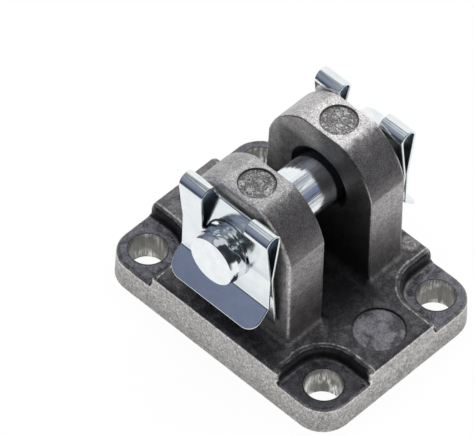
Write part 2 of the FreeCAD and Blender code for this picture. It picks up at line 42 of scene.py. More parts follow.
# Meshes and settings are in metres in the frame of the CAD, with the mounting face at Z = 0.
# The materials count in millimetres.
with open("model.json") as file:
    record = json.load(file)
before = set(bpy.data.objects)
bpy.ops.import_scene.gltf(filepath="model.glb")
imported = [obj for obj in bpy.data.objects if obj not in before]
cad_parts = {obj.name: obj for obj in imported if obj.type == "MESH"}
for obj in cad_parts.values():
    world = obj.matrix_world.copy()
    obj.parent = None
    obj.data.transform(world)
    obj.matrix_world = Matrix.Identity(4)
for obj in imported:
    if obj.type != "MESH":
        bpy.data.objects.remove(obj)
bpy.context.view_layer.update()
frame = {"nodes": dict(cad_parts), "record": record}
PIN_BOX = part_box("pin")
CASTING_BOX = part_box("bracket")
MOUNTS = {mount["name"]: mount for mount in frame["record"]["mounts"]}
BOLTS = MOUNTS["mounting_bolts"]["dims"]
HOLE_X, HOLE_Y, HOLE_R = BOLTS["spacing_x_mm"] / 2, BOLTS["spacing_y_mm"] / 2, BOLTS["hole_r_mm"]
# radius of the bores' mouths in the gap, in millimetres like the three before it
MOUTH_R = 6.3
MM = 0.001
AXIS_HEIGHT = (PIN_BOX[0].z + PIN_BOX[1].z) / 2
SAME_POINT = 0.0005 * MM


# Node building

def add(tree, kind, inputs=None, **settings):
    """A new node with its settings, and its inputs set or linked by name or number."""
    node = tree.nodes.new(kind)
    for name, value in settings.items():
        setattr(node, name, value)
    for key, value in (inputs or {}).items():
        socket = node.inputs[key]
        if isinstance(value, bpy.types.NodeSocket):
            tree.links.new(value, socket)
        else:
            socket.default_value = value
    return node


def calc(tree, operation, *terms):
    """One step of arithmetic; gives its output."""
    return add(tree, "ShaderNodeMath", dict(enumerate(terms)), operation=operation).outputs[0]


def vector_calc(tree, operation, *terms):
    """One step of arithmetic with vectors; gives its output."""
    inputs = dict(enumerate(terms))
    if operation == "SCALE":
        inputs["Scale"] = inputs.pop(1)
    node = add(tree, "ShaderNodeVectorMath", inputs, operation=operation)
    return node.outputs[1 if operation == "DOT_PRODUCT" else 0]


def ramp(tree, value, low, high, to_low=0.0, to_high=1.0, smooth=True):
    """Turns a value between low and high into one between to_low and to_high, held outside."""
    kind = "SMOOTHSTEP" if smooth else "LINEAR"
    node = add(tree, "ShaderNodeMapRange", {0: value, 1: low, 2: high, 3: to_low, 4: to_high},
               interpolation_type=kind)
    return node.outputs[0]


def blend_colour(tree, share, first, second):
    """This share of the second colour over the first; inputs 6 and 7 of a Mix node are its colours."""
    return add(tree, "ShaderNodeMix", {0: share, 6: first, 7: second}, data_type="RGBA").outputs[2]


def grain(tree, place, scale, detail=2.0, roughness=0.5, distortion=0.0):
    """Soft noise round 0.5, with this many features per unit of place."""
    node = add(tree, "ShaderNodeTexNoise", {"Vector": place, "Scale": scale, "Detail": detail,
                                            "Roughness": roughness, "Distortion": distortion})
    return node.outputs["Fac"]


def specks(tree, place, scale):
    """Distance to the nearest of many scattered points."""
    return add(tree, "ShaderNodeTexVoronoi", {"Vector": place, "Scale": scale}).outputs["Distance"]


def plain_material(name):
    """A node material without nodes; gives it and its tree."""
    material = bpy.data.materials.new(name)
    material.use_nodes = True
    material.node_tree.nodes.clear()
    return material, material.node_tree


def new_material(name):
    """A node material; gives it, its tree, its shader and the place on the piece in millimetres."""
    material, tree = plain_material(name)
    shader = add(tree, "ShaderNodeBsdfPrincipled")
    add(tree, "ShaderNodeOutputMaterial", {"Surface": shader.outputs[0]})
    place = add(tree, "ShaderNodeTexCoord").outputs["Object"]
    return material, tree, shader, vector_calc(tree, "SCALE", place, 1 / MM)


def bump(tree, height, distance, strength=1.0, under=None):
    """A normal bent by a height; the distance is in millimetres."""
    inputs = {"Height": height, "Distance": distance * MM, "Strength": strength}
    if under is not None:
        inputs["Normal"] = under
    return add(tree, "ShaderNodeBump", inputs).outputs[0]


def attribute(tree, name):
    """A value that the casting's mesh carries."""
    return add(tree, "ShaderNodeAttribute", attribute_name=name).outputs["Fac"]


# Finishes

# What the casting's mesh carries: its outer edges, its inner corners, narrow and wide, which get painted
# shade, and how far it faces up or along Y.
CARRIED = ("arris", "hollow_shade", "nook_shade", "upward", "sideways")


# A mask goes from 0 to 1. ramp(tree, value, none, full) makes one from a place in millimetres, a noise or a
# direction; its two further numbers, where given, are the mask's own ends.

def band(tree, value, low, high, soft):
    """1 between low and high, fading out over the soft width on both sides."""
    rise = ramp(tree, value, low - soft, low + soft)
    fall = ramp(tree, value, high + soft, high - soft)
    return calc(tree, "MULTIPLY", rise, fall)


def all_of(tree, first, *others):
    """The product of several masks."""
    for other in others:
        first = calc(tree, "MULTIPLY", first, other)
    return first


def radius_of(tree, first, second):
    """Length of the vector that has these two parts."""
    squares = [calc(tree, "MULTIPLY", value, value) for value in (first, second)]
    return calc(tree, "SQRT", calc(tree, "ADD", *squares))


def corner_distance(tree, along_x, along_y):
    """Length of a vector after its negative parts are dropped: straight runs joined by a round corner."""
    return radius_of(tree, calc(tree, "MAXIMUM", along_x, 0.0), calc(tree, "MAXIMUM", along_y, 0.0))


def paint(tree, under, mask, colour, share=1.0):
    """Lays this share of a colour over another, where the mask is."""
    if share < 1.0:
        mask = calc(tree, "MULTIPLY", mask, share)
    return blend_colour(tree, mask, under, (*colour, 1))


def two_tone(tree, share, first, second):
    """From the first colour to the second, as the share goes from 0 to 1."""
    return blend_colour(tree, share, (*first, 1), (*second, 1))


def tumbled_casting(sizes):
    """Tumbled die casting: mottled grey skin; crowns and arrises rubbed light, partly with painted highlight;
    painted reflection of the floor on its outer walls; painted shade in its corners, in the gap, on its
    platform and pads.
    """
    material, tree, shader, place = new_material("tumbled_casting")
    x, y, z = add(tree, "ShaderNodeSeparateXYZ", {0: place}).outputs
    side_x = calc(tree, "ABSOLUTE", x)
    side_y = calc(tree, "ABSOLUTE", y)
    rise = calc(tree, "SUBTRACT", z, AXIS_HEIGHT / MM)
    cloud = grain(tree, place, 0.16, 3.0, 0.6)
    patches = grain(tree, place, 0.5, 5.0, 0.7, 0.5)
    fine = grain(tree, place, 4.0, 4.0, 0.8)
    flecks = grain(tree, place, 1.7, 5.0, 0.8)
    arris, hollow_shade, nook_shade, upward, sideways = (attribute(tree, name) for name in CARRIED)
    platform, rim = sizes.platform / MM, sizes.pad_rim / MM
    ear_middle, gap_half, crease_rise = sizes.ear_middle / MM, sizes.gap_half / MM, sizes.crease / MM

    # places on the casting, in millimetres: from a hole, from the base's sides, from a pad's wall
    past_x = calc(tree, "SUBTRACT", side_x, HOLE_X)
    past_y = calc(tree, "SUBTRACT", side_y, HOLE_Y)
    from_hole = radius_of(tree, past_x, past_y)
    hole_to_side = CASTING_BOX[1].x / MM - HOLE_X
    from_side = calc(tree, "SUBTRACT", corner_distance(tree, past_x, past_y), hole_to_side)
    before_x, before_y = (calc(tree, "MULTIPLY", past, -1.0) for past in (past_x, past_y))
    from_wall = calc(tree, "SUBTRACT", corner_distance(tree, before_x, before_y), sizes.pad_wall / MM)
    from_pin = radius_of(tree, x, rise)
    base = ramp(tree, z, platform + 1.0, platform + 0.4)
    level = ramp(tree, upward, 0.7, 0.95)
    steep = ramp(tree, upward, 0.5, 0.3)
    ears = ramp(tree, z, platform + 1.5, platform + 3.5)

    # the cast skin: patches, brown clouds and light flecks
    skin = two_tone(tree, ramp(tree, patches, 0.36, 0.62), sizes.cast_dark, sizes.cast_skin)
    skin = paint(tree, skin, ramp(tree, cloud, 0.4, 0.65, 0.0, 0.6), sizes.cast_warm)
    skin = paint(tree, skin, ramp(tree, flecks, 0.54, 0.66, 0.0, 0.4), sizes.cast_light_and_sheen)

    # painted shade and reflection on the platform: dark where it faces up, less so towards the left
    deck_shade = all_of(tree, base, ramp(tree, upward, 0.4, 0.6), ramp(tree, from_wall, 0.0, 0.4),
                  ramp(tree, x, -17.0, -11.0, 0.45, 1.0), ramp(tree, patches, 0.62, 0.45, 0.75, 1.0))
    skin = paint(tree, skin, deck_shade, sizes.deck_shade, 0.93)

    # the ears: crowns light up to a ragged line, partly rubbed wear and partly painted highlight on the side
    # towards the light; painted sheen on the flanks; painted shade on the shoulders, inner faces and feet
    ragged = calc(tree, "ADD", x, ramp(tree, grain(tree, place, 0.9, 3.0), 0.25, 0.75, -0.7, 0.7, False))
    left = ramp(tree, ragged, 5.6, 4.2)
    high = ramp(tree, rise, 5.5, 8.0)
    rubbed_lit_crown = all_of(tree, high, left, ramp(tree, flecks, 0.34, 0.55, 0.3, 1.0))
    skin = paint(tree, skin, rubbed_lit_crown, sizes.rubbed_lit_crown, 0.85)
    # a further painted highlight on the left part of the rear crown
    rear_crown_sheen = all_of(tree, rubbed_lit_crown, ramp(tree, y, 0.0, 3.0), ramp(tree, x, -6.5, -3.0, 0.2, 0.65))
    skin = paint(tree, skin, rear_crown_sheen, sizes.rubbed_and_glinting)
    # painted sheen on the ears' steep flanks, stronger higher up
    lit_flank = all_of(tree, ears, steep, ramp(tree, side_x, 8.0, 10.0), ramp(tree, flecks, 0.35, 0.6, 0.3, 1.0))
    skin = paint(tree, skin, all_of(tree, lit_flank, ramp(tree, z, 17.0, 26.0, 0.0, 0.85)), sizes.cast_light_and_sheen)
    # painted shade on the ears' shoulders and inner faces
    ear_shade = all_of(tree, ears, ramp(tree, x, 4.8, 7.0), ramp(tree, rise, 2.0, 3.5),
                      ramp(tree, sideways, 0.8, 0.5))
    skin = paint(tree, skin, ear_shade, sizes.ear_shade, 0.75)
    inner_face_shade = all_of(tree, ears, ramp(tree, sideways, 0.6, 0.9), ramp(tree, x, -3.0, 1.5),
                        ramp(tree, side_y, gap_half + 1.0, gap_half + 0.5))
    skin = paint(tree, skin, inner_face_shade, sizes.ear_shade, 0.8)
    # painted shade down the ears' steep faces, darker towards their feet
    foot = all_of(tree, ears, steep, ramp(tree, z, 23.0, 13.0, 0.0, 0.65))
    skin = paint(tree, skin, foot, sizes.ear_shade)

    # a rough light scar on the platform's rear right corner
    scar_x = calc(tree, "SUBTRACT", x, sizes.scar_x / MM)
    scar_y = calc(tree, "SUBTRACT", y, sizes.scar_y / MM)
    scar = all_of(tree, base, level, ramp(tree, radius_of(tree, scar_x, scar_y), 2.1, 1.0),
                  ramp(tree, flecks, 0.4, 0.55, 0.2, 1.0))
    skin = paint(tree, skin, scar, sizes.cast_light_and_sheen, 0.6)

    # the lowered pads: painted shade and reflection on a slate floor, darker near the wall and on the front
    # right pad, painted shade on the wall, thin painted highlight lines along the rim and the cove
    pad_floor_shade = all_of(tree, base, level, ramp(tree, from_wall, -0.3, -0.5))
    skin = paint(tree, skin, pad_floor_shade, sizes.pad_floor_shade, 0.9)
    pad_shade = all_of(tree, pad_floor_shade, ramp(tree, patches, 0.55, 0.4),
                       ramp(tree, from_wall, -3.5, -0.6, 0.4, 1.0))
    skin = paint(tree, skin, pad_shade, sizes.hollow_shade, 0.75)
    front_pad = all_of(tree, pad_floor_shade, ramp(tree, x, 0.0, 4.0), ramp(tree, y, -4.0, -8.0))
    skin = paint(tree, skin, front_pad, sizes.hollow_shade, 0.45)
    pad_wall = calc(tree, "MULTIPLY", base, band(tree, from_wall, -0.3, rim * 0.65, 0.15))
    skin = paint(tree, skin, pad_wall, sizes.hollow_shade, 0.85)
    broken = ramp(tree, grain(tree, place, 0.7, 4.0, 0.7), 0.42, 0.58, 0.1, 1.0)
    highlight_lines = ((rim - 0.15, rim + 0.1, 0.55), (rim - 0.65, rim - 0.5, 0.3), (-0.62, -0.5, 0.3))
    for start, stop, share in highlight_lines:
        line = all_of(tree, base, band(tree, from_wall, start, stop, 0.12), broken)
        skin = paint(tree, skin, line, sizes.rubbed_and_glinting, share)

    # ejector marks: discs with wrinkles or blotches; their steps get painted shade, on the platform more on
    # the rear side
    mark_y = calc(tree, "SUBTRACT", side_y, ear_middle)
    crown_ring = calc(tree, "SUBTRACT", radius_of(tree, x, mark_y), sizes.crown_mark / MM)
    mark_x = calc(tree, "SUBTRACT", side_x, sizes.platform_mark_x / MM)
    deck_ring = calc(tree, "SUBTRACT", radius_of(tree, mark_x, y), sizes.platform_mark / MM)
    wrinkles = ramp(tree, grain(tree, place, 1.3, 4.0, 0.6, 1.5), 0.38, 0.62)
    crown_disc = all_of(tree, high, ramp(tree, crown_ring, 0.0, -0.3))
    wrinkled = two_tone(tree, wrinkles, sizes.mark_dark, sizes.cast_light_and_sheen)
    skin = blend_colour(tree, calc(tree, "MULTIPLY", crown_disc, 0.9), skin, wrinkled)
    blotches = ramp(tree, grain(tree, place, 0.3, 4.0, 0.6), 0.46, 0.6)
    deck_disc = all_of(tree, base, ramp(tree, deck_ring, 0.0, -0.4))
    skin = paint(tree, skin, deck_disc, sizes.mark, 0.7)
    skin = paint(tree, skin, calc(tree, "MULTIPLY", deck_disc, blotches), sizes.deck_shade, 0.8)
    crown_step = calc(tree, "MULTIPLY", high, band(tree, crown_ring, -0.2, 0.05, 0.1))
    deck_step = all_of(tree, base, band(tree, deck_ring, -0.15, 0.05, 0.1),
                       ramp(tree, y, -2.5, 1.5, 0.35, 1.0))
    step_shade = calc(tree, "MAXIMUM", crown_step, deck_step)
    off_marks = ramp(tree, calc(tree, "MINIMUM", calc(tree, "ABSOLUTE", crown_ring),
                                calc(tree, "ABSOLUTE", deck_ring)), 0.5, 0.9)

    # rims and creases: arrises rubbed light, partly real wear and partly painted highlight; painted highlight
    # lines on the ears' rim roundings and creases; painted shade on the crowns' inner rims
    edge_break = ramp(tree, grain(tree, place, 1.6, 3.0), 0.3, 0.6, 0.35, 1.0)
    off_holes = ramp(tree, from_hole, HOLE_R + 1.2, HOLE_R + 1.6)
    off_mouths = ramp(tree, from_pin, MOUTH_R + 0.6, MOUTH_R + 1.1)
    edge = all_of(tree, arris, off_holes, off_mouths, off_marks)
    rim_round = all_of(tree, band(tree, sideways, 0.45, 0.8, 0.12), ears, off_mouths)
    inner_rim_shade = all_of(tree, rim_round, high, ramp(tree, side_y, ear_middle, gap_half + 1.0))
    rounding_highlight = calc(tree, "SUBTRACT", rim_round, inner_rim_shade)
    crease = all_of(tree, ears, ramp(tree, side_x, 10.8, 11.4),
                    band(tree, rise, crease_rise - 0.25, crease_rise + 0.25, 0.2))
    wear_and_highlight = calc(tree, "MAXIMUM", calc(tree, "MAXIMUM", edge, rounding_highlight), calc(tree, "MULTIPLY", crease, 0.3))
    skin = paint(tree, skin, calc(tree, "MULTIPLY", wear_and_highlight, edge_break), sizes.rubbed_and_glinting, 0.8)

    # the outer walls of the base: painted reflection of the bright floor, lighter towards the top, with a
    # painted highlight line above and below
    outside = calc(tree, "MULTIPLY", base, ramp(tree, from_side, -0.85, -0.45))
    fade = ramp(tree, z, 0.8, 5.5, 0.0, 1.0)
    lit_wall_skin = two_tone(tree, fade, sizes.lit_wall_low, sizes.lit_wall_high)
    lit_wall_skin = paint(tree, lit_wall_skin, ramp(tree, flecks, 0.58, 0.4, 0.0, 0.65), sizes.cast_dark)
    skin = blend_colour(tree, calc(tree, "MULTIPLY", outside, steep), skin, lit_wall_skin)
    top_line = calc(tree, "MULTIPLY", outside, band(tree, upward, 0.12, 0.4, 0.05))
    bottom_line = calc(tree, "MULTIPLY", outside, ramp(tree, z, 0.5, 0.25))
    highlight_line = calc(tree, "MULTIPLY", calc(tree, "MAXIMUM", top_line, bottom_line), edge_break)
    skin = paint(tree, skin, highlight_line, sizes.rubbed_and_glinting, 0.85)

    # painted shade: in the gap, deepest at its foot, in the corners, in the steps and round the bolt holes
    gap = all_of(tree, ramp(tree, side_y, gap_half + 0.5, gap_half + 0.1),
                 ramp(tree, side_x, 17.0, 11.5), ramp(tree, z, 9.0, 30.0, 0.86, 0.0, False))
    skin = paint(tree, skin, gap, sizes.hollow_shade)
    ring = band(tree, from_hole, HOLE_R + 0.06, HOLE_R + 0.25, 0.06)
    corner_shade = calc(tree, "MAXIMUM", calc(tree, "MULTIPLY", hollow_shade, 0.8), calc(tree, "MULTIPLY", nook_shade, 0.75))
    corner_shade = calc(tree, "MAXIMUM", corner_shade, calc(tree, "MULTIPLY", calc(tree, "MAXIMUM", step_shade, ring), 0.85))
    corner_shade = calc(tree, "MAXIMUM", corner_shade, calc(tree, "MULTIPLY", inner_rim_shade, 0.75))
    skin = paint(tree, skin, corner_shade, sizes.hollow_shade)

    # pores and grain all over
    mottle = calc(tree, "MULTIPLY", ramp(tree, fine, 0.35, 0.65, 0.55, 1.45),
                  ramp(tree, patches, 0.35, 0.65, 0.92, 1.08))
    skin = vector_calc(tree, "SCALE", skin, mottle)

    # machined bolt holes with streaks down them, partly painted reflection, darker towards the top; the
    # chamfered mouths round the pin are painted black as shade
    mouth_shade = all_of(tree, ramp(tree, from_pin, MOUTH_R, MOUTH_R - 0.1), ramp(tree, side_y, 8.0, 7.0))
    skin = paint(tree, skin, mouth_shade, sizes.mouth_shade, 0.95)
    bolt_bore = ramp(tree, from_hole, HOLE_R + 0.05, HOLE_R + 0.01)
    streak_place = vector_calc(tree, "MULTIPLY", place, (2.0, 2.0, 0.3))
    streaks = ramp(tree, grain(tree, streak_place, 0.9, 4.0, 0.7), 0.4, 0.62)
    # painted reflection: the streaks vary round the bore and darken towards its top
    mirrored_sectors = all_of(tree, ramp(tree, grain(tree, place, 0.25, 1.0), 0.44, 0.6, 0.1, 1.0),
                     ramp(tree, z, 5.5, 2.0, 0.4, 1.0))
    machined = two_tone(tree, calc(tree, "MULTIPLY", streaks, mirrored_sectors), sizes.bore_dark, sizes.bore_bright)
    tree.links.new(blend_colour(tree, bolt_bore, skin, machined), shader.inputs["Base Color"])

    # the bores are smoother than the cast skin, which is pitted
    gloss = ramp(tree, fine, 0.3, 0.7, 0.34, 0.52)
    gloss = calc(tree, "SUBTRACT", gloss, calc(tree, "MULTIPLY", bolt_bore, 0.12))
    tree.links.new(gloss, shader.inputs["Roughness"])
    shader.inputs["Metallic"].default_value = 0.9

    pits = ramp(tree, specks(tree, place, 1.7), 0.05, 0.28)
    rough_skin = calc(tree, "ADD", calc(tree, "MULTIPLY", fine, 0.7), calc(tree, "MULTIPLY", pits, 0.4))
    rough_skin = calc(tree, "ADD", rough_skin, patches)
    rough_skin = calc(tree, "ADD", rough_skin, calc(tree, "MULTIPLY", crown_disc, wrinkles))
    quiet = calc(tree, "MULTIPLY", rough_skin, ramp(tree, bolt_bore, 0.0, 1.0, 1.0, 0.1))
    tree.links.new(bump(tree, quiet, 0.14, 0.7), shader.inputs["Normal"])
    return material


def turned_steel(colours):
    """Bright zinc on turned steel: fine rings left by the tool, lengthwise streaks that fade to the ends."""
    material, tree, shader, place = new_material("turned_steel")
    x, y, z = add(tree, "ShaderNodeSeparateXYZ", {0: place}).outputs
    rise = calc(tree, "SUBTRACT", z, AXIS_HEIGHT / MM)
    along = add(tree, "ShaderNodeCombineXYZ", {0: radius_of(tree, x, rise), 1: y}).outputs[0]
    rings = grain(tree, along, 9.0, 3.0, 0.7)
    drawn = grain(tree, vector_calc(tree, "MULTIPLY", place, (1.0, 0.04, 1.0)), 1.6, 3.0, 0.6)
    broad = grain(tree, along, 1.1, 2.0)
    cloud = grain(tree, place, 0.5, 3.0, 0.6)
    colour = two_tone(tree, ramp(tree, cloud, 0.3, 0.7), colours.zinc, colours.zinc_blue)
    colour = paint(tree, colour, ramp(tree, rings, 0.55, 0.8, 0.0, 0.2), colours.zinc_dark)
    tree.links.new(colour, shader.inputs["Base Color"])
    tree.links.new(ramp(tree, broad, 0.3, 0.7, 0.05, 0.11), shader.inputs["Roughness"])
    shader.inputs["Metallic"].default_value = 1.0
    ringed = bump(tree, rings, 0.004, 0.4)
    drawn = calc(tree, "MULTIPLY", drawn, ramp(tree, calc(tree, "ABSOLUTE", y), 15.0, 12.0, 0.25, 1.0))
    tree.links.new(bump(tree, drawn, 0.11, 0.8, ringed), shader.inputs["Normal"])
    return material


def spring_sheet(colours):
    """Bright rolled spring steel: faint scratches across the clip, clouds and small stains."""
    material, tree, shader, place = new_material("spring_sheet")
    rolled = vector_calc(tree, "MULTIPLY", place, (0.25, 3.0, 3.0))
    lines = grain(tree, rolled, 1.5, 4.0, 0.7)
    cloud = grain(tree, place, 0.35, 3.0, 0.5)
    spots = ramp(tree, specks(tree, place, 0.45), 0.03, 0.07, 1.0, 0.0)
    colour = two_tone(tree, ramp(tree, cloud, 0.3, 0.7), colours.clip_bright, colours.clip_blue)
    colour = paint(tree, colour, spots, colours.clip_spot, 0.5)
    tree.links.new(colour, shader.inputs["Base Color"])
    tree.links.new(ramp(tree, lines, 0.3, 0.7, 0.1, 0.2), shader.inputs["Roughness"])
    shader.inputs["Metallic"].default_value = 1.0
    tree.links.new(bump(tree, lines, 0.01, 0.35), shader.inputs["Normal"])
    return material


# Meshes

def merged_copy(node):
    """The node's triangles as one connected mesh."""
    shape = bmesh.new()
    shape.from_mesh(frame["nodes"][node].data)
    bmesh.ops.remove_doubles(shape, verts=shape.verts, dist=SAME_POINT)
    return shape


def split_long_edges(shape, longest):
    """Splits edges until none is longer than this, so that the surface can carry dents."""
    while True:
        long_edges = [edge for edge in shape.edges if edge.calc_length() > longest]
        if not long_edges:
            return
        bmesh.ops.subdivide_edges(shape, edges=long_edges, cuts=1)
        open_faces = [face for face in shape.faces if len(face.verts) > 3]
        bmesh.ops.triangulate(shape, faces=open_faces, quad_method="SHORT_EDGE")


def write_mesh(shape, mesh, sharp_degrees):
    """Writes a shape to a mesh and frees it; edges at this angle or over stay sharp."""
    sharp = math.radians(sharp_degrees)
    for edge in shape.edges:
        edge.smooth = len(edge.link_faces) == 2 and edge.calc_face_angle(0.0) < sharp
    for face in shape.faces:
        face.smooth = True
    shape.to_mesh(mesh)
    shape.free()
    return mesh


def new_object(name, data):
    """An object of this data, linked to the scene."""
    item = bpy.data.objects.new(name, data)
    bpy.context.scene.collection.objects.link(item)
    return item


def baked(source, name):
    """The evaluated object as a plain mesh of its own; the source object is removed."""
    depsgraph = bpy.context.evaluated_depsgraph_get()
    mesh = bpy.data.meshes.new_from_object(source.evaluated_get(depsgraph), depsgraph=depsgraph)
    mesh.name = name
    bpy.data.objects.remove(source)
    return mesh


def place_in_scene(name, mesh, node):
    """Links a finished mesh as a piece that stands for this node and rides on the body of the same name."""
    piece = new_object(name, mesh)
    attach(piece, node)
    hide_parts(node)


def new_tree(name, inputs):
    """A geometry node tree with named inputs; gives the tree, its group input and its output node."""
    tree = bpy.data.node_groups.new(name, "GeometryNodeTree")
    tree.interface.new_socket("Geometry", in_out="INPUT", socket_type="NodeSocketGeometry")
    for label, kind, value in inputs:
        socket = tree.interface.new_socket(label, in_out="INPUT", socket_type=kind)
        if value is not None:
            socket.default_value = value
    tree.interface.new_socket("Geometry", in_out="OUTPUT", socket_type="NodeSocketGeometry")
    return tree, add(tree, "NodeGroupInput"), add(tree, "NodeGroupOutput")


def even_shading(carrier):
    """Turns normals to the larger faces, so that narrow roundings carry the whole bend."""
    carrier.modifiers.new("shading", "WEIGHTED_NORMAL").keep_sharp = False


def run_tree(mesh, tree, values, name, even=False, share=1.0):
    """Runs a tree on a mesh with these values and gives the plain result, with this share of its faces."""
    carrier = new_object(name, mesh)
    modifier = carrier.modifiers.new(tree.name, "NODES")
    modifier.node_group = tree
    for item in tree.interface.items_tree:
        if item.item_type == "SOCKET" and item.in_out == "INPUT" and item.name in values:
            modifier[item.identifier] = values[item.name]
    if even:
        even_shading(carrier)
    if share < 1.0:
        carrier.modifiers.new("thinning", "DECIMATE").ratio = share
    return baked(carrier, name)


def finish_tree(tree, output, geometry, material):
    """Ends a tree: instances realized, material set."""
    real = add(tree, "GeometryNodeRealizeInstances", {0: geometry})
    coated = add(tree, "GeometryNodeSetMaterial", {0: real.outputs[0], "Material": material})
    tree.links.new(coated.outputs[0], output.inputs[0])


def named(tree, name):
    """A value that the mesh carries."""
    return add(tree, "GeometryNodeInputNamedAttribute", {"Name": name}, data_type="FLOAT").outputs[0]


def stored(tree, geometry, name, value):
    """The geometry with this value on its points."""
    inputs = {"Geometry": geometry, "Name": name, "Value": value}
    return add(tree, "GeometryNodeStoreNamedAttribute", inputs, data_type="FLOAT", domain="POINT").outputs[0]


def standing_out(tree, place, normal, rounds):
    """How far a point stands out of its neighbourhood, which is wider the more rounds of blur there are."""
    blurred = add(tree, "GeometryNodeBlurAttribute", {0: place, "Iterations": rounds},
                  data_type="FLOAT_VECTOR")
    lift = vector_calc(tree, "SUBTRACT", place, blurred.outputs[0])
    return vector_calc(tree, "DOT_PRODUCT", lift, normal)


def tumbled_surface_tree():
    """Stores a casting's arrises, hollows and nooks and how it faces, and dents it, always inwards."""
    tree, given, output = new_tree("tumbled_surface", [
        ("Dent Depth", "NodeSocketFloat", 0.05 * MM),
        ("Dent Spacing", "NodeSocketFloat", 2.5 * MM),
        ("Arris Depth", "NodeSocketFloat", 0.06 * MM),
        ("Reach", "NodeSocketInt", 3),
        ("Corner Reach", "NodeSocketInt", 30),
        ("Material", "NodeSocketMaterial", None),
    ])
    place = add(tree, "GeometryNodeInputPosition").outputs[0]
    normal = add(tree, "GeometryNodeInputNormal").outputs[0]
    stand = standing_out(tree, place, normal, given.outputs["Reach"])
    wide_stand = standing_out(tree, place, normal, given.outputs["Corner Reach"])
    _, across, upward = add(tree, "ShaderNodeSeparateXYZ", {0: normal}).outputs
    geometry = given.outputs["Geometry"]
    arris = ramp(tree, stand, 0.03 * MM, 0.08 * MM)
    hollow_shade = ramp(tree, stand, -0.015 * MM, -0.06 * MM)
    nook_shade = ramp(tree, wide_stand, -0.1 * MM, -0.6 * MM)
    for name, value in zip(CARRIED, (arris, hollow_shade, nook_shade, upward, calc(tree, "ABSOLUTE", across))):
        geometry = stored(tree, geometry, name, value)
    scale = calc(tree, "DIVIDE", 1.0, given.outputs["Dent Spacing"])
    dents = ramp(tree, grain(tree, place, scale, 3.0, 0.6), 0.3, 0.75)
    nicks = ramp(tree, grain(tree, place, calc(tree, "MULTIPLY", scale, 2.2), 2.0), 0.5, 0.75)
    depth = calc(tree, "MULTIPLY", dents, given.outputs["Dent Depth"])
    nick_depth = all_of(tree, nicks, named(tree, "arris"), given.outputs["Arris Depth"])
    depth = calc(tree, "MULTIPLY", calc(tree, "ADD", depth, nick_depth), named(tree, "cast"))
    offset = vector_calc(tree, "SCALE", normal, calc(tree, "MULTIPLY", depth, -1.0))
    moved = add(tree, "GeometryNodeSetPosition", {"Geometry": geometry, "Offset": offset})
    finish_tree(tree, output, moved.outputs[0], given.outputs["Material"])
    return tree


def lathe_tree():
    """Turns a chain of points (radius, place along the axis) into a closed round bar along Y."""
    tree, given, output = new_tree("turned_bar", [
        ("Axis Height", "NodeSocketFloat", AXIS_HEIGHT),
        ("Sides", "NodeSocketInt", 160),
        ("Material", "NodeSocketMaterial", None),
    ])
    place = add(tree, "GeometryNodeInputPosition").outputs[0]
    radius, along, _ = add(tree, "ShaderNodeSeparateXYZ", {0: place}).outputs
    kept = stored(tree, given.outputs["Geometry"], "bar_radius", radius)
    line = add(tree, "ShaderNodeCombineXYZ", {1: along, 2: given.outputs["Axis Height"]}).outputs[0]
    straight = add(tree, "GeometryNodeSetPosition", {"Geometry": kept, "Position": line})
    curve = add(tree, "GeometryNodeMeshToCurve", {0: straight.outputs[0]})
    ring = add(tree, "GeometryNodeCurvePrimitiveCircle",
               {"Resolution": given.outputs["Sides"], "Radius": 1.0})
    bar = add(tree, "GeometryNodeCurveToMesh", {"Curve": curve.outputs[0], "Profile Curve": ring.outputs[0],
                                                "Scale": named(tree, "bar_radius"), "Fill Caps": True})
    smooth = add(tree, "GeometryNodeSetShadeSmooth", {0: bar.outputs[0]})
    finish_tree(tree, output, smooth.outputs[0], given.outputs["Material"])
    return tree


# Settings

def length_setting(label, about, value):
    return bpy.props.FloatProperty(name=label, description=about, default=value, min=0.0,
                                   subtype="DISTANCE", unit="LENGTH", precision=5)


def colour_setting(label, about, value):
    return bpy.props.FloatVectorProperty(name=label, description=about, default=value, size=3,
                                         min=0.0, max=1.0, subtype="COLOR")


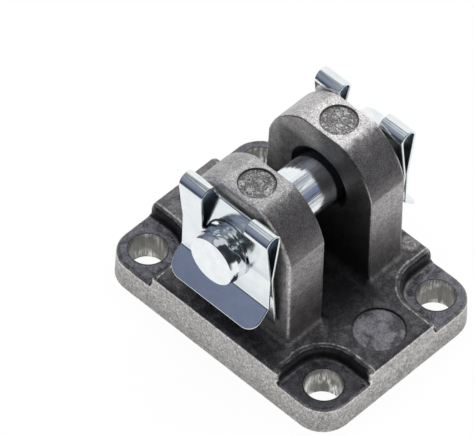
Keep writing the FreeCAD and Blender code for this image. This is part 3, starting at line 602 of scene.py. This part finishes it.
class CastingSettings(bpy.types.PropertyGroup):
    mesh_edge: length_setting("Mesh Edge", "Longest edge of the casting's mesh", 0.6 * MM)
    kept_faces: bpy.props.FloatProperty(name="Kept Faces", description="Share of the mesh's faces that stays",
                                        default=0.28, min=0.05, max=1.0)
    dent_depth: length_setting("Dent Depth", "How far the tumbled skin dips", 0.05 * MM)
    dent_spacing: length_setting("Dent Spacing", "Size of the dips in the skin", 2.5 * MM)
    arris_depth: length_setting("Arris Nicks", "How deep the arrises are nicked", 0.06 * MM)
    platform: length_setting("Platform", "Height of the platform", 8.4 * MM)
    pad_wall: length_setting("Pad Wall", "Radius of a pad's wall about its hole", 5.6 * MM)
    pad_rim: length_setting("Pad Rim", "Rounding at the top of a pad's wall", 1.2 * MM)
    gap_half: length_setting("Gap", "Half the gap between the ears", 5.5 * MM)
    ear_middle: length_setting("Ear Middle", "Middle of an ear from the middle of the gap", 9.675 * MM)
    crown_mark: length_setting("Crown Mark", "Radius of the ejector marks on the ears", 3.25 * MM)
    platform_mark: length_setting("Platform Mark", "Radius of the ejector marks on the platform", 4.55 * MM)
    platform_mark_x: length_setting("Platform Mark Place", "Platform marks from the middle", 19.9 * MM)
    scar_x: length_setting("Scar, X", "Middle of the rough scar on the platform, along X", 10.8 * MM)
    scar_y: length_setting("Scar, Y", "Middle of the rough scar on the platform, along Y", 17.1 * MM)
    crease: length_setting("Crease", "Creases of the ears' sides above the pin's axis", 2.7 * MM)
    cast_dark: colour_setting("Skin, Dark", "Dark patches and pores of the cast skin", (0.15, 0.143, 0.147))
    cast_skin: colour_setting("Skin", "The cast skin", (0.245, 0.235, 0.238))
    cast_warm: colour_setting("Skin, Warm", "Brownish clouds on the skin", (0.235, 0.218, 0.208))
    # light flecks of the skin; also the colour of the painted sheen on the ears' flanks
    cast_light_and_sheen: colour_setting("Skin, Light", "Light flecks", (0.5, 0.485, 0.48))
    # painted shade on the ears' shoulders, inner faces and feet
    ear_shade: colour_setting("Shoulders", "Dark skin of the ears' shoulders, inner faces and feet",
                             (0.12, 0.113, 0.117))
    # rubbed crowns of the ears, with a painted highlight
    rubbed_lit_crown: colour_setting("Crowns", "Rubbed crowns of the ears", (0.56, 0.545, 0.54))
    # rubbed metal; also the colour of painted highlight lines on rims, creases, pads and walls
    rubbed_and_glinting: colour_setting("Rubbed", "Metal rubbed bright", (0.78, 0.755, 0.74))
    # painted shade and reflection on the platform
    deck_shade: colour_setting("Platform", "Dark skin of the platform", (0.062, 0.06, 0.065))
    # painted reflection of the floor on the base's outer walls
    lit_wall_high: colour_setting("Walls, Upper", "Upper part of the base's outer walls", (0.56, 0.545, 0.53))
    lit_wall_low: colour_setting("Walls, Lower", "Lower part of the base's outer walls", (0.4, 0.39, 0.375))
    # painted shade in hollows, corners, the gap, the pads and the steps
    hollow_shade: colour_setting("Hollow", "Grime in inner corners", (0.022, 0.021, 0.024))
    # painted shade and reflection on the pads' floors
    pad_floor_shade: colour_setting("Pad Floor", "The lowered pads", (0.135, 0.135, 0.158))
    mark: colour_setting("Ejector Marks", "Discs of the ejector marks on the platform", (0.3, 0.3, 0.325))
    mark_dark: colour_setting("Wrinkles", "Dark wrinkles in the marks on the ears", (0.11, 0.105, 0.108))
    # painted black shade in the bore mouths round the pin
    mouth_shade: colour_setting("Bore Mouths", "Mouths of the bores round the pin", (0.012, 0.013, 0.016))
    # dark streaks and bright metal of the bores; the tone changes round the bore are partly painted
    # reflection
    bore_dark: colour_setting("Bore, Dark", "Dark streaks in the bores", (0.13, 0.128, 0.118))
    bore_bright: colour_setting("Bore, Bright", "Machined metal in the bores", (0.82, 0.81, 0.78))


class PinSettings(bpy.types.PropertyGroup):
    groove_width: length_setting("Groove Width", "Width of the clip grooves", 1.3 * MM)
    groove_radius: length_setting("Groove Radius", "Radius at the bottom of a groove", 4.0 * MM)
    land: length_setting("Land", "From a groove to the pin's end", 3.1 * MM)
    taper_length: length_setting("Taper Length", "Taper of the pin's ends, along the pin", 1.5 * MM)
    taper_depth: length_setting("Taper Depth", "Taper of the pin's ends, towards the axis", 0.4 * MM)
    edge: length_setting("Edge", "Softness of the pin's turned edges", 0.08 * MM)
    sides: bpy.props.IntProperty(name="Sides", description="Sides of the round bar", default=160, min=24)
    zinc: colour_setting("Zinc", "Bright zinc", (0.9, 0.91, 0.92))
    zinc_blue: colour_setting("Zinc, Blue", "Bluer zinc", (0.78, 0.83, 0.87))
    zinc_dark: colour_setting("Zinc, Dark", "Tool lines", (0.55, 0.57, 0.6))


class ClipSettings(bpy.types.PropertyGroup):
    edge: length_setting("Edge", "Rounding of the sheet's cut edges", 0.19 * MM)
    clip_bright: colour_setting("Sheet", "Bright sheet", (0.84, 0.87, 0.88))
    clip_blue: colour_setting("Sheet, Blue", "Bluer sheet", (0.75, 0.8, 0.83))
    clip_spot: colour_setting("Spots", "Small stains", (0.35, 0.35, 0.42))


class StageSettings(bpy.types.PropertyGroup):
    azimuth: bpy.props.FloatProperty(name="Azimuth", description="Camera's turn round the part",
                                     default=math.radians(42.14), subtype="ANGLE", unit="ROTATION")
    elevation: bpy.props.FloatProperty(name="Elevation", description="Camera's height angle",
                                       default=math.radians(50.16), subtype="ANGLE", unit="ROTATION")
    roll: bpy.props.FloatProperty(name="Roll", description="Camera's lean about its view",
                                  default=math.radians(2.58), subtype="ANGLE", unit="ROTATION")
    distance: length_setting("Distance", "Camera from its target", 1.146)
    lens: bpy.props.FloatProperty(name="Lens", description="Focal length, millimetres", default=525.4,
                                  min=1.0)
    target: bpy.props.FloatVectorProperty(name="Target", description="Middle of the picture", size=3,
                                          default=(-9.44 * MM, -3.69 * MM, 15 * MM), subtype="TRANSLATION",
                                          unit="LENGTH")
    floor: colour_setting("Floor", "The floor", (0.86, 0.87, 0.88))
    floor_white: bpy.props.FloatProperty(name="Floor, White", description="Share of plain white in the floor",
                                         default=0.95, min=0.0, max=1.0)
    cloth_low: colour_setting("Cloth, Low", "Foot of the cloth in front that shiny metal mirrors",
                              (0.08, 0.09, 0.105))
    cloth_middle: colour_setting("Cloth, Middle", "Middle of the cloth", (0.215, 0.245, 0.355))
    cloth_high: colour_setting("Cloth, High", "Upper part of the cloth", (0.3, 0.33, 0.37))
    wall: colour_setting("Wall", "Grey wall on the left", (0.15, 0.16, 0.18))
    card: colour_setting("Card", "Black card on the right", (0.03, 0.033, 0.038))
    ceiling: colour_setting("Ceiling", "Above the part", (0.64, 0.67, 0.7))
    dome_radius: length_setting("Dome Radius", "Reach of the mirrored studio", 0.09)
    lamp_power: bpy.props.FloatProperty(name="Lamp Power", description="Overhead softbox, watts", default=6.0,
                                        min=0.0, unit="POWER")


# Pieces

class MOUNT_OT_casting(bpy.types.Operator):
    """Builds the tumbled casting from the bracket's solid"""

    bl_idname = "mount.casting"
    bl_label = "Casting"

    def execute(self, context):
        sizes = context.scene.mount_casting
        shape = merged_copy("bracket")
        split_long_edges(shape, sizes.mesh_edge)
        mesh = write_mesh(shape, bpy.data.meshes.new("casting_skin"), sharp_degrees=40)
        points = np.empty(len(mesh.vertices) * 3)
        mesh.vertices.foreach_get("co", points)
        x, y, z = np.abs(points.reshape(-1, 3)).T / MM
        cast = self.cast_share(x, y, z)
        mesh.attributes.new("cast", "FLOAT", "POINT").data.foreach_set("value", cast)
        values = {"Dent Depth": sizes.dent_depth, "Dent Spacing": sizes.dent_spacing,
                  "Arris Depth": sizes.arris_depth, "Material": tumbled_casting(sizes)}
        result = run_tree(mesh, tumbled_surface_tree(), values, "casting", share=sizes.kept_faces)
        shape = bmesh.new()
        shape.from_mesh(result)
        place_in_scene("casting", write_mesh(shape, result, sharp_degrees=50), "bracket")
        return {"FINISHED"}

    def cast_share(self, x, y, z):
        """0 on the machined surfaces (bores, mouths, mounting face), 1 a short way from them."""
        fade, clear = 0.4, 0.02
        off_bolts = np.hypot(x - HOLE_X, y - HOLE_Y) - HOLE_R - clear
        off_pin = np.hypot(x, z - AXIS_HEIGHT / MM) - MOUTH_R
        share = 1.0
        for distance in (off_bolts, off_pin, z):
            share = share * np.clip(distance / fade, 0, 1)
        return share


class MOUNT_OT_pin(bpy.types.Operator):
    """Turns the grooved pin"""

    bl_idname = "mount.pin"
    bl_label = "Pin"

    def execute(self, context):
        sizes = context.scene.mount_pin
        end = PIN_BOX[1].y
        radius = (PIN_BOX[1].x - PIN_BOX[0].x) / 2
        outer = end - sizes.land
        inner = outer - sizes.groove_width
        soft = sizes.edge
        taper = end - sizes.taper_length
        small = radius - sizes.taper_depth
        cut = soft * 0.3
        tip = 0.02 * MM
        # half the outline, from the middle to the end: shank, groove, land, taper and end face, which stops a
        # hair off the axis, so that the caps close it
        half = [(radius, 0.0), (radius, inner - soft), (radius - cut, inner - cut), (radius - soft, inner),
                (sizes.groove_radius, inner), (sizes.groove_radius, outer),
                (radius - soft, outer), (radius - cut, outer + cut), (radius, outer + soft),
                (radius, taper - soft), (radius - soft * 0.2, taper + soft),
                (small + cut, end - soft), (small - cut, end - cut), (small - soft, end),
                (radius * 0.5, end), (tip, end)]
        chain = [(r, -y, 0.0) for r, y in reversed(half)] + [(r, y, 0.0) for r, y in half[1:]]
        profile = bpy.data.meshes.new("pin_profile")
        profile.from_pydata(chain, [(i, i + 1) for i in range(len(chain) - 1)], [])
        values = {"Axis Height": AXIS_HEIGHT, "Sides": sizes.sides, "Material": turned_steel(sizes)}
        result = run_tree(profile, lathe_tree(), values, "clevis_pin", even=True)
        place_in_scene("clevis_pin", result, "pin")
        return {"FINISHED"}


class MOUNT_OT_clips(bpy.types.Operator):
    """Builds both folded clips, with the cut edges of the sheet softened"""

    bl_idname = "mount.clips"
    bl_label = "Clips"

    def execute(self, context):
        sizes = context.scene.mount_clip
        material = spring_sheet(sizes)
        for node in ("clip_front", "clip_rear"):
            shape = merged_copy(node)
            flat = math.radians(0.5)
            bmesh.ops.dissolve_limit(shape, angle_limit=flat, verts=shape.verts, edges=shape.edges)
            mesh = write_mesh(shape, bpy.data.meshes.new(node), sharp_degrees=30)
            mesh.materials.append(material)
            carrier = new_object(node, mesh)
            bevel = carrier.modifiers.new("edges", "BEVEL")
            bevel.width = sizes.edge
            bevel.segments = 2
            bevel.limit_method = "ANGLE"
            bevel.angle_limit = math.radians(40)
            bevel.use_clamp_overlap = False
            even_shading(carrier)
            place_in_scene(f"spring_{node}", baked(carrier, f"spring_{node}"), node)
        return {"FINISHED"}


class MOUNT_OT_stage(bpy.types.Operator):
    """Sets the floor, the light, the studio that the metal mirrors, and the camera"""

    bl_idname = "mount.stage"
    bl_label = "Stage"

    def execute(self, context):
        look = context.scene.mount_stage
        scene = context.scene
        scene.view_settings.view_transform = "Standard"
        self.world(scene)
        self.floor(look)
        self.dome(look)
        self.lamps(look)
        self.camera(scene, look)
        return {"FINISHED"}

    def seen(self, tree):
        """1 for rays that show the background: camera, glossy and transmission rays."""
        path = add(tree, "ShaderNodeLightPath").outputs
        shown = calc(tree, "MAXIMUM", path["Is Camera Ray"], path["Is Glossy Ray"])
        return calc(tree, "MAXIMUM", shown, path["Is Transmission Ray"])

    def world(self, scene):
        scene.world = bpy.data.worlds.new("studio")
        scene.world.use_nodes = True
        tree = scene.world.node_tree
        tree.nodes.clear()
        white = add(tree, "ShaderNodeBackground", {"Color": (1, 1, 1, 1), "Strength": 1.0})
        fill = add(tree, "ShaderNodeBackground", {"Color": (0.95, 0.97, 1, 1), "Strength": 0.55})
        mix = add(tree, "ShaderNodeMixShader", {0: self.seen(tree), 1: fill.outputs[0], 2: white.outputs[0]})
        add(tree, "ShaderNodeOutputWorld", {0: mix.outputs[0]})

    def floor(self, look):
        """A floor that is seen nearly white; the rest of it keeps the part's shadow."""
        half, below = 3.0, -0.02 * MM
        mesh = bpy.data.meshes.new("floor")
        mesh.from_pydata([(-half, -half, 0), (half, -half, 0), (half, half, 0), (-half, half, 0)], [],
                         [(0, 1, 2, 3)])
        material, tree = plain_material("floor")
        matte = add(tree, "ShaderNodeBsdfDiffuse", {"Color": (*look.floor, 1)})
        white = add(tree, "ShaderNodeEmission", {"Color": (1, 1, 1, 1), "Strength": 1.0})
        share = calc(tree, "MULTIPLY", self.seen(tree), look.floor_white)
        mix = add(tree, "ShaderNodeMixShader", {0: share, 1: matte.outputs[0], 2: white.outputs[0]})
        add(tree, "ShaderNodeOutputMaterial", {"Surface": mix.outputs[0]})
        mesh.materials.append(material)
        floor = new_object("floor", mesh)
        floor.location.z = below

    def tones(self, look, tilt, turn):
        """Colours of the mirrored studio by height and compass angle, in degrees."""
        def step(value, low, high):
            share = np.clip((value - low) / (high - low), 0, 1)
            return share * share * (3 - 2 * share)

        def facing(middle, full, none):
            """1 within the first angle of this direction, 0 beyond the second."""
            return 1 - step(np.abs((turn - middle + 180) % 360 - 180), full, none)

        def cover(under, colour, share):
            return under + (np.array(colour) - under) * share[:, None]

        # a cloth all round, a grey wall, a black card, a dark seam under the ceiling, a white window and feet
        card, wall, window = facing(-30, 50, 76), facing(172, 6, 15), facing(103, 42, 56)
        right_foot, left_foot = facing(12, 18, 36), facing(162, 8, 18)
        cloth_top, card_extra, wall_extra, seam_width = 56, 21, 15, 2.2
        top = cloth_top + card_extra * card + wall_extra * wall
        seam = np.exp(-((tilt - top) / seam_width) ** 2)
        white = (1, 1, 1)
        colours = cover(np.tile(look.cloth_low, (len(tilt), 1)), look.cloth_middle, step(tilt, 2, 18))
        colours = cover(colours, look.cloth_high, step(tilt, 26, 44))
        colours = cover(colours, look.wall, wall)
        colours = cover(colours, look.card, card)
        colours = cover(colours, look.card, 0.95 * seam)
        colours = cover(colours, look.ceiling, step(tilt, top + 1, top + 4))
        colours = cover(colours, white, window * (1 - step(tilt, 46, 50)))
        foot = np.maximum(right_foot, 0.75 * left_foot)
        return cover(colours, white, foot * (1 - step(tilt, -6, 6)))

    def dome(self, look):
        """A dome round the part that only mirror reflections see, painted with the studio's tones."""
        middle = Vector((0, -15 * MM, 35 * MM))
        rows, columns = 56, 120
        foot = -math.asin(middle.z / look.dome_radius)
        tilts, turns = np.meshgrid(np.linspace(foot, math.pi / 2, rows + 1),
                                   np.linspace(-math.pi, math.pi, columns + 1), indexing="ij")
        tilt, turn = tilts.ravel(), turns.ravel()
        ways = np.stack([np.cos(tilt) * np.cos(turn), np.cos(tilt) * np.sin(turn), np.sin(tilt)], 1)
        wide = columns + 1
        faces = [(r * wide + c, r * wide + c + 1, (r + 1) * wide + c + 1, (r + 1) * wide + c)
                 for r in range(rows) for c in range(columns)]
        mesh = bpy.data.meshes.new("dome")
        mesh.from_pydata((ways * look.dome_radius + np.array(middle)).tolist(), [], faces)
        colours = np.ones((len(tilt), 4))
        colours[:, :3] = self.tones(look, np.degrees(tilt), np.degrees(turn))
        mesh.attributes.new("glow", "FLOAT_COLOR", "POINT").data.foreach_set("color", colours.ravel())
        material, tree = plain_material("dome")
        colour = add(tree, "ShaderNodeAttribute", attribute_name="glow").outputs["Color"]
        glow = add(tree, "ShaderNodeEmission", {"Color": colour, "Strength": 1.0})
        add(tree, "ShaderNodeOutputMaterial", {"Surface": glow.outputs[0]})
        mesh.materials.append(material)
        dome = new_object("dome", mesh)
        dome.visible_camera = False
        dome.visible_diffuse = False
        dome.visible_shadow = False

    def lamps(self, look):
        """A large softbox overhead and a weaker one in front on the right, both turned to the part."""
        aim = Vector((0, 0, 0.01))
        for name, place, size, power in (("softbox", (-0.15, 0.15, 0.9), 0.8, look.lamp_power),
                                         ("fill", (0.6, -0.7, 0.7), 0.5, look.lamp_power * 0.3)):
            data = bpy.data.lights.new(name, "AREA")
            data.shape = "SQUARE"
            data.size = size
            data.energy = power
            lamp = new_object(name, data)
            lamp.location = place
            lamp.rotation_euler = (aim - lamp.location).to_track_quat("-Z", "Y").to_euler()

    def camera(self, scene, look):
        data = bpy.data.cameras.new("camera")
        data.lens = look.lens
        data.sensor_width = 36
        data.clip_start = 0.1
        data.clip_end = 20
        camera = new_object("camera", data)
        turn, tilt = look.azimuth, look.elevation
        back = Vector((math.sin(turn) * math.cos(tilt), -math.cos(turn) * math.cos(tilt), math.sin(tilt)))
        camera.location = Vector(look.target) + back * look.distance
        right = Vector((math.cos(turn), math.sin(turn), 0))
        up = back.cross(right)
        along, across = math.cos(look.roll), math.sin(look.roll)
        axes = [right * along + up * across, up * along - right * across, back]
        camera.rotation_euler = Matrix(axes).transposed().to_euler()
        scene.camera = camera


class MOUNT_PT_panel(bpy.types.Panel):
    """Sizes, colours and builders of the clevis mount"""

    bl_idname = "MOUNT_PT_panel"
    bl_label = "Clevis Mount"
    bl_space_type = "VIEW_3D"
    bl_region_type = "UI"
    bl_category = "Clevis Mount"

    def draw(self, context):
        for group, _, operator in GROUPS:
            box = self.layout.box()
            settings = getattr(context.scene, group)
            for name in settings.bl_rna.properties.keys():
                if name not in ("rna_type", "name"):
                    box.prop(settings, name)
            box.operator(operator.bl_idname)


GROUPS = (
    ("mount_casting", CastingSettings, MOUNT_OT_casting),
    ("mount_pin", PinSettings, MOUNT_OT_pin),
    ("mount_clip", ClipSettings, MOUNT_OT_clips),
    ("mount_stage", StageSettings, MOUNT_OT_stage),
)


def register():
    for name, settings, operator in GROUPS:
        bpy.utils.register_class(settings)
        setattr(bpy.types.Scene, name, bpy.props.PointerProperty(type=settings))
        bpy.utils.register_class(operator)
    bpy.utils.register_class(MOUNT_PT_panel)


def unregister():
    bpy.utils.unregister_class(MOUNT_PT_panel)
    for name, settings, operator in reversed(GROUPS):
        bpy.utils.unregister_class(operator)
        delattr(bpy.types.Scene, name)
        bpy.utils.unregister_class(settings)


def main():
    register()
    bpy.ops.mount.casting()
    bpy.ops.mount.pin()
    bpy.ops.mount.clips()
    bpy.ops.mount.stage()


if __name__ == "__main__":
    main()
